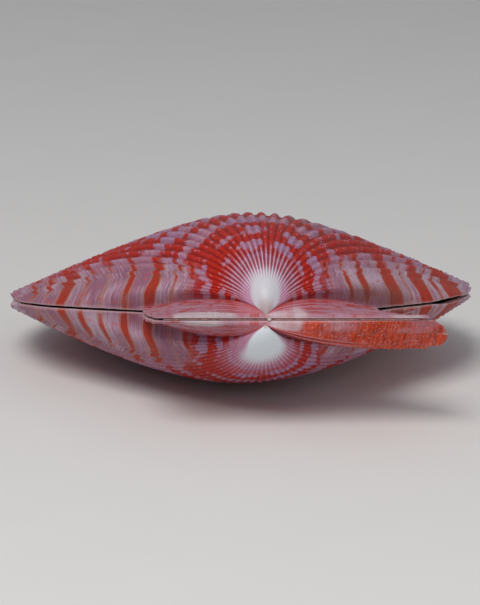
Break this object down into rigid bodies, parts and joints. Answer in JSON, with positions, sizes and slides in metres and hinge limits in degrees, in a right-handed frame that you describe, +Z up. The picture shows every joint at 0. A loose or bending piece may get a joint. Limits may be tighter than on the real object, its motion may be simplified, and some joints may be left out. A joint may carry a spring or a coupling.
{
  "type": "scallop shell",
  "caption": "Closed scallop shell lying on its lower valve: ribbed fan-shaped valves with unequal ears, joined by the ligament along a straight hinge.",
  "frame": {"origin": "on the floor under the middle of the shell's box", "axes": "+Z up, +Y from the hinge to the ventral edge, +X towards the anterior ears"},
  "size_m": [0.0678, 0.0732, 0.0259],
  "materials": {
    "upper_valve_shell": "satin",
    "lower_valve_shell": "satin",
    "dried_ligament": "matte"
  },
  "bodies": {
    "root": {"upper_valve": "upper_valve_shell", "lower_valve": "lower_valve_shell", "hinge_ligament": "dried_ligament"}
  },
  "joints": []
}
